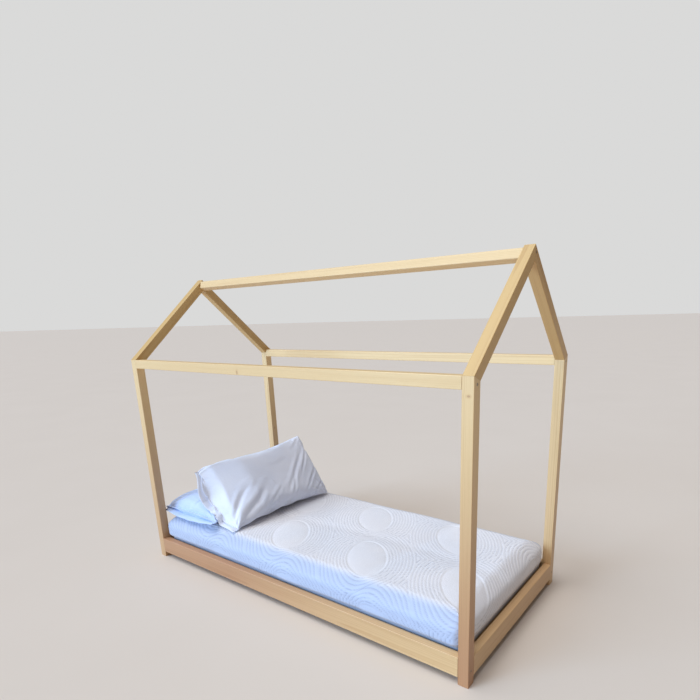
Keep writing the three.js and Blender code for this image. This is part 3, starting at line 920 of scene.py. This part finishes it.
def baked_nodes(name, points, edges, tree, **inputs):
    """A plain mesh object made by a geometry nodes tree from points and edges."""
    seed_mesh = bpy.data.meshes.new(name)
    seed_mesh.from_pydata([tuple(p) for p in points], edges, [])
    maker = link(bpy.data.objects.new(name, seed_mesh))
    modifier = maker.modifiers.new("nodes", "NODES")
    modifier.node_group = tree
    items = tree.interface.items_tree
    sockets = {item.name: item.identifier for item in items if item.in_out == "INPUT"}
    for key, value in inputs.items():
        modifier[sockets[key.replace("_", " ").title()]] = value
    evaluated = maker.evaluated_get(bpy.context.evaluated_depsgraph_get())
    made = bpy.data.meshes.new_from_object(evaluated)
    maker.modifiers.clear()
    maker.data = made
    return maker


def creased_surface(mesh, seed, creases):
    """Points of a filled pillow's surface after its gathers and creases, and their places on the case."""
    points = get_points(mesh)
    normals = np.empty(len(points) * 3)
    mesh.vertex_normals.foreach_get("vector", normals)
    layer = np.empty(len(points))
    mesh.attributes["layer"].data.foreach_get("value", layer)
    cloth = cloth_places(mesh)
    on_case = np.column_stack([cloth[:, 1] + CASE_LENGTH / 2, CASE_WIDTH / 2 - cloth[:, 0]])
    height = wrinkles(on_case, corner_gathers(seed)) * np.abs(layer)
    height += wrinkles(on_case, creases) * smoothstep(0.0, 0.6, layer)
    return points + normals.reshape(-1, 3) * height[:, None], cloth


def stitch_rows(coarse, places, tree):
    """Points and edges of a row of stitches on each layer, a little in from the open end."""
    row = -1 + 2 * STITCH_ROW * CASE_STEP / CASE_LENGTH
    nearest_row = places[np.argmin(np.abs(places[:, 1] - row)), 1]
    stitched = []
    for sign in (-1, 1):
        chosen = (places[:, 1] == nearest_row) & (places[:, 2] == sign)
        line = coarse[chosen][np.argsort(places[chosen, 0])]
        for spot in line:
            on_cloth, normal, _, _ = tree.find_nearest(Vector(spot))
            stitched.append(on_cloth + normal * THREAD_RADIUS / 2)
    count = len(stitched) // 2
    edges = [(i, i + 1) for i in range(2 * count - 1) if i != count - 1]
    return np.array(stitched), edges


def make_pillow(name, seed, size, shape, creases, hems, place, body, cotton):
    """A finished pillow: filled, shaped and creased in its own frame, hemmed, then put in its place.

    In its own frame X is across, Y along with the open end at -Y, and Z through its thickness.
    Each hem is (layer, how far it reaches out, how far it gapes).
    """
    pillow, places = filled_pillow(name, seed)
    coarse = shape(fit_size(get_points(pillow.data), size))
    set_points(pillow.data, coarse)
    set_value(pillow.data, "layer", places[:, 2])
    refine(pillow)
    points, cloth = creased_surface(pillow.data, seed, creases)
    faces = [tuple(polygon.vertices) for polygon in pillow.data.polygons]
    tree = BVHTree.FromPolygons([Vector(point) for point in points], faces)

    open_end = places[:, 1] == -1
    seam = coarse[open_end]
    seam = seam[np.argsort(places[open_end, 0])]
    all_points, all_places = [points], [cloth]
    total = len(points)
    for number, (sign, reach, gap) in enumerate(hems):
        hem_points, hem_faces, hem_places = hem_layer(seam, sign, reach, gap, seed + number)
        faces += [tuple(total + i for i in face) for face in hem_faces]
        all_points.append(hem_points)
        all_places.append(hem_places)
        total += len(hem_points)
    bpy.data.objects.remove(pillow)
    pillow = mesh_object(name, place(np.concatenate(all_points)), faces)
    set_uv(pillow.data, np.concatenate(all_places))
    set_material(pillow, cotton)
    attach(pillow, body)

    stitched, edges = stitch_rows(coarse, places, tree)
    stitches = baked_nodes(f"{name}_stitches", place(stitched), edges, STITCHES, thread=PILLOW_THREAD)
    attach(stitches, body)
    return pillow


def make_back_pillow():
    """The pillow that lies flat at the head, with its open end against the near post."""
    low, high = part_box("back_pillow")
    size = high - low
    floor = mattress_top() + PILLOW_GAP
    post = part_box("post_head_front")[1]

    def shape(points):
        """The open end is squared off and sinks a little."""
        near_end = smoothstep(-0.19, -0.29, points[:, 1])
        points[:, 1] = square_off_end(points[:, 1])
        points[:, 2] -= 14 * MM * near_end
        return points

    def place(points):
        middle = ((low.x + high.x) / 2 + FLAT_SHIFT[0], FLAT_SHIFT[1], floor + FLAT_HALF_THICKNESS)
        placed = points + middle
        placed[:, 2] = np.maximum(placed[:, 2], floor)
        beside_post = placed[:, 1] < post.y + POST_REACH
        placed[beside_post, 0] = np.maximum(placed[beside_post, 0], post.x + PILLOW_GAP)
        return placed

    creases = [
        ((0.10, 0.75), (0.45, 0.62), 9 * MM, 3.5 * MM),
        ((0.06, 0.45), (0.30, 0.40), 8 * MM, 3 * MM),
        ((0.30, 0.20), (0.55, 0.35), 9 * MM, 3 * MM),
    ]
    hems = ((1, 13 * MM, 10 * MM), (-1, 30 * MM, 24 * MM))
    full = tuple(size * Vector(FLAT_FULLNESS))
    body = "back_pillow_body"
    pillow = make_pillow("pillow_flat", SEED, full, shape, creases, hems, place, body, BLUE_COTTON)
    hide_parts("back_pillow")
    return pillow


def height_over(mesh, x, y, reach):
    """Height of a mesh's top near each (x, y), or a very low value where there is none."""
    corners = [Vector(point) for point in get_points(mesh)]
    tree = BVHTree.FromPolygons(corners, [tuple(polygon.vertices) for polygon in mesh.polygons])
    heights = np.full(len(x), -9.0)
    down = Vector((0, 0, -1))
    for aside, ahead in itertools.product((0, -reach, reach), repeat=2):
        for number, (across, along) in enumerate(zip(x + aside, y + ahead)):
            hit = tree.ray_cast(Vector((across, along, 2)), down)[0]
            if hit:
                heights[number] = max(heights[number], hit.z)
    return heights


def make_front_pillow(back_pillow):
    """The pillow that stands on the mattress and leans back on the flat one."""
    low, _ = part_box("front_pillow")
    top = mattress_top()
    foot = Vector((low.x, 0, top)) + LEANING_FOOT

    def shape(points):
        """The open end is a slanting face from the hem at the back to a fold in the front layer."""
        along = points[:, 1].copy()
        up = LEANING_SIZE[0] / 2 - points[:, 0]
        end = along.min()
        points[:, 1] = square_off_end(along)
        # The hem is set back most half way up; behind it the top edge rises to a shoulder, and the
        # hem's upper corner is drawn up and in.
        hem = -54 * MM * smoothstep(0.0, 0.10, up) * (1 - 0.75 * smoothstep(0.17, 0.35, up))
        points[:, 2] += hem * smoothstep(-0.20, -0.285, along)
        shoulder = smoothstep(-0.285, -0.21, along) * smoothstep(0.0, -0.16, along)
        points[:, 0] -= 20 * MM * shoulder * smoothstep(0.20, 0.34, up)
        ear = smoothstep(-0.25, -0.29, along) * smoothstep(0.26, 0.35, up)
        points[:, 0] -= 6 * MM * ear
        points[:, 1] += 26 * MM * ear
        # The slanting face runs from the hem to the fold, with a slow wave across it.
        fold = 6 * MM + 50 * MM * smoothstep(0.0, 0.30, up)
        depth = points[:, 1] - end
        inside = np.clip(depth / fold, 0, 1)
        wave = 4 * MM * np.sin(up * 48 + inside * 2.5) * inside * (1 - inside) * 4
        face = hem + (24 * MM - hem) * inside + wave + 0.30 * np.maximum(depth - fold, 0)
        points[:, 2] = soft_minimum(points[:, 2], face, 5 * MM)
        return points

    def place(points):
        along = points[:, 1]
        up = LEANING_SIZE[0] / 2 - points[:, 0]
        angle = LEAN - LEAN_TWIST * along / TWIST_REACH
        x = foot.x + points[:, 2] * np.cos(angle) - up * np.sin(angle)
        z = foot.z + points[:, 2] * np.sin(angle) + up * np.cos(angle)
        under = np.maximum(height_over(back_pillow.data, x, along, GAP_REACH), top)
        z = -soft_minimum(-z, -under - PILLOW_GAP, 8 * MM)
        return np.column_stack([x, along, z])

    creases = [
        ((0.35, 0.36), (0.10, 0.02), 13 * MM, 8 * MM),
        ((0.24, 0.46), (0.06, 0.12), 9 * MM, 4 * MM),
        ((0.86, 0.70), (0.54, 0.20), 9 * MM, 4 * MM),
        ((0.93, 0.42), (0.72, 0.12), 7 * MM, 4 * MM),
        ((0.97, 0.22), (0.80, 0.05), 6 * MM, 3.5 * MM),
        ((0.70, 0.45), (0.56, 0.10), 7 * MM, 3 * MM),
        ((0.95, 0.75), (0.76, 0.40), 6 * MM, 3 * MM),
        ((0.50, 0.30), (0.30, 0.08), 8 * MM, 3.5 * MM),
    ]
    hems = ((1, 8 * MM, 8 * MM), (-1, 28 * MM, 9 * MM))
    body = "front_pillow_body"
    pillow = make_pillow(
        "pillow_leaning", SEED + 5, LEANING_SIZE, shape, creases, hems, place, body, PALE_COTTON
    )
    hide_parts("front_pillow")


# ---------------------------------------------------------------- slat screws


def screw_head():
    """A countersunk head with a cross recess, about the origin, top at Z zero."""
    turns = 16
    recess_radius, recess_depth = 2.6, -0.9
    # Each ring as (radius, height) in millimetres, from the bottom of the recess out to the shank.
    rings = ((0.0, -1.1), (1.3, -1.0), (recess_radius, 0.0), (3.9, -0.15), (3.9, -0.5), (1.9, -2.4))
    points = [(0, 0, rings[0][1] * MM)]
    for radius, height in rings[1:]:
        for k in range(turns):
            angle = 2 * math.pi * k / turns
            in_cross = radius == recess_radius and k % 4 == 0
            depth = recess_depth if in_cross else height
            across, along = radius * MM * math.cos(angle), radius * MM * math.sin(angle)
            points.append((across, along, depth * MM))
    faces = [(0, 1 + k, 1 + (k + 1) % turns) for k in range(turns)]
    for ring in range(len(rings) - 2):
        start = 1 + ring * turns
        for k in range(turns):
            after = (k + 1) % turns
            faces.append((start + k, start + turns + k, start + turns + after, start + after))
    faces.append(tuple(1 + (len(rings) - 2) * turns + k for k in reversed(range(turns))))
    return mesh_object("screw_head", points, faces, smooth=False)


def screw_tree():
    """A node tree that sets a screw head on every point, each turned its own way."""
    tree = bpy.data.node_groups.new("slat_screws", "GeometryNodeTree")
    tree.interface.new_socket("Geometry", in_out="INPUT", socket_type="NodeSocketGeometry")
    for name, kind in (("Head", "Object"), ("Seed", "Int"), ("Metal", "Material")):
        tree.interface.new_socket(name, in_out="INPUT", socket_type=f"NodeSocket{kind}")
    tree.interface.new_socket("Geometry", in_out="OUTPUT", socket_type="NodeSocketGeometry")
    n = Nodes(tree)
    entry = n.add("NodeGroupInput").outputs
    head = n.add("GeometryNodeObjectInfo", {"Object": entry["Head"]})
    turn = n.add("FunctionNodeRandomValue", {"Seed": entry["Seed"]}, data_type="FLOAT")
    angle = n.math("MULTIPLY", turn.outputs["Value"], math.pi)
    rotation = n.add("ShaderNodeCombineXYZ", {2: angle})
    placed = n.add(
        "GeometryNodeInstanceOnPoints",
        {
            "Points": entry["Geometry"],
            "Instance": head.outputs["Geometry"],
            "Rotation": rotation.outputs[0],
        },
    )
    real = n.add("GeometryNodeRealizeInstances", {0: placed.outputs[0]})
    metal = {"Geometry": real.outputs[0], "Material": entry["Metal"]}
    coloured = n.add("GeometryNodeSetMaterial", metal)
    leave = n.add("NodeGroupOutput")
    tree.links.new(coloured.outputs[0], leave.inputs[0])
    return tree


def make_slat_screws():
    """Two screws through each end of every slat into the ledger below."""
    points = []
    ledgers = [centre_of("slat_ledger_front").y, centre_of("slat_ledger_rear").y]
    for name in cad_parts:
        if not name.startswith("slat_") or "ledger" in name:
            continue
        low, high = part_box(name)
        for y in ledgers:
            for x in (low.x + SCREW_INSET, high.x - SCREW_INSET):
                points.append((x, y, high.z + 0.1 * MM))
    head = screw_head()
    screws = baked_nodes("slat_screws", points, [], screw_tree(), head=head, seed=SEED, metal=STEEL)
    bpy.data.objects.remove(head)
    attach(screws, "frame")


# ---------------------------------------------------------------- stage

# Each lamp as name, direction it comes from, strength, spread in degrees and colour.
LAMPS = (
    ("window", (-0.50, -0.82, 0.26), 2.9, 28, (0.50, 0.72, 1.0)),
    ("ceiling", (-0.20, -0.30, 1.0), 2.3, 50, (0.92, 0.95, 1.0)),
)


FLOOR_REACH = 300.0


def sun_light(name, toward, strength, spread, colour):
    """A broad, soft light from far away."""
    lamp = bpy.data.lights.new(name, "SUN")
    lamp.energy = strength
    lamp.angle = math.radians(spread)
    lamp.color = colour
    obj = link(bpy.data.objects.new(name, lamp))
    obj.location = Vector(toward) * 4
    obj.rotation_euler = Vector(toward).to_track_quat("Z", "Y").to_euler()


def make_stage():
    """A plain pale floor that runs to the horizon, an even grey behind it, and the lamps."""
    corners = [(-FLOOR_REACH, -FLOOR_REACH, 0), (FLOOR_REACH, -FLOOR_REACH, 0)]
    corners += [(FLOOR_REACH, FLOOR_REACH, 0), (-FLOOR_REACH, FLOOR_REACH, 0)]
    floor = mesh_object("floor", corners, [(0, 1, 2, 3)])
    floor.location.z = -0.5 * MM
    material, n, shader = new_material("pale_floor")
    where = n.add("ShaderNodeTexCoord").outputs["Object"]
    drift = n.noise(where, 1.5, 3.0, 0.5)
    colour = n.mix_colour(drift, (0.66, 0.585, 0.51, 1), (0.69, 0.615, 0.54, 1))
    n.put(shader.inputs["Base Color"], colour)
    shader.inputs["Roughness"].default_value = 0.9
    set_material(floor, material)

    world = bpy.data.worlds.new("studio")
    bpy.context.scene.world = world
    world.use_nodes = True
    n = Nodes(world.node_tree)
    background = world.node_tree.nodes["Background"]
    seen = n.add("ShaderNodeLightPath").outputs["Is Camera Ray"]
    colour = n.mix_colour(seen, (0.21, 0.19, 0.18, 1), (0.70, 0.70, 0.695, 1))
    n.put(background.inputs["Color"], colour)
    background.inputs["Strength"].default_value = 1.0

    for name, toward, strength, spread, colour in LAMPS:
        sun_light(name, toward, strength, spread, colour)


def make_camera():
    camera = link(bpy.data.objects.new("camera", bpy.data.cameras.new("camera")))
    turn = (
        Matrix.Rotation(HEADING, 3, "Z")
        @ Matrix.Rotation(math.pi / 2 - DOWNWARD, 3, "X")
        @ Matrix.Rotation(ROLL, 3, "Z")
    )
    camera.location = EYE
    camera.rotation_euler = turn.to_euler()
    camera.data.sensor_width = 36
    camera.data.lens = LENS
    camera.data.shift_x, camera.data.shift_y = SHIFT
    bpy.context.scene.camera = camera


# ---------------------------------------------------------------- making

bpy.context.scene.view_settings.view_transform = "Standard"
make_camera()
make_stage()

PALE_COTTON = cotton_material("pale_cotton", (0.78, 0.82, 0.94, 1), (0.72, 0.77, 0.91, 1))
BLUE_COTTON = cotton_material("blue_cotton", (0.55, 0.67, 0.93, 1), (0.50, 0.62, 0.91, 1))
PILLOW_THREAD = thread_material()
STITCHES = stitch_tree()
finish_timber()
STEEL = screw_material()
for node_name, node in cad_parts.items():
    if "screw" in node_name:
        set_material(node, STEEL)

make_slat_screws()
make_mattress()
flat_pillow = make_back_pillow()
make_front_pillow(flat_pillow)
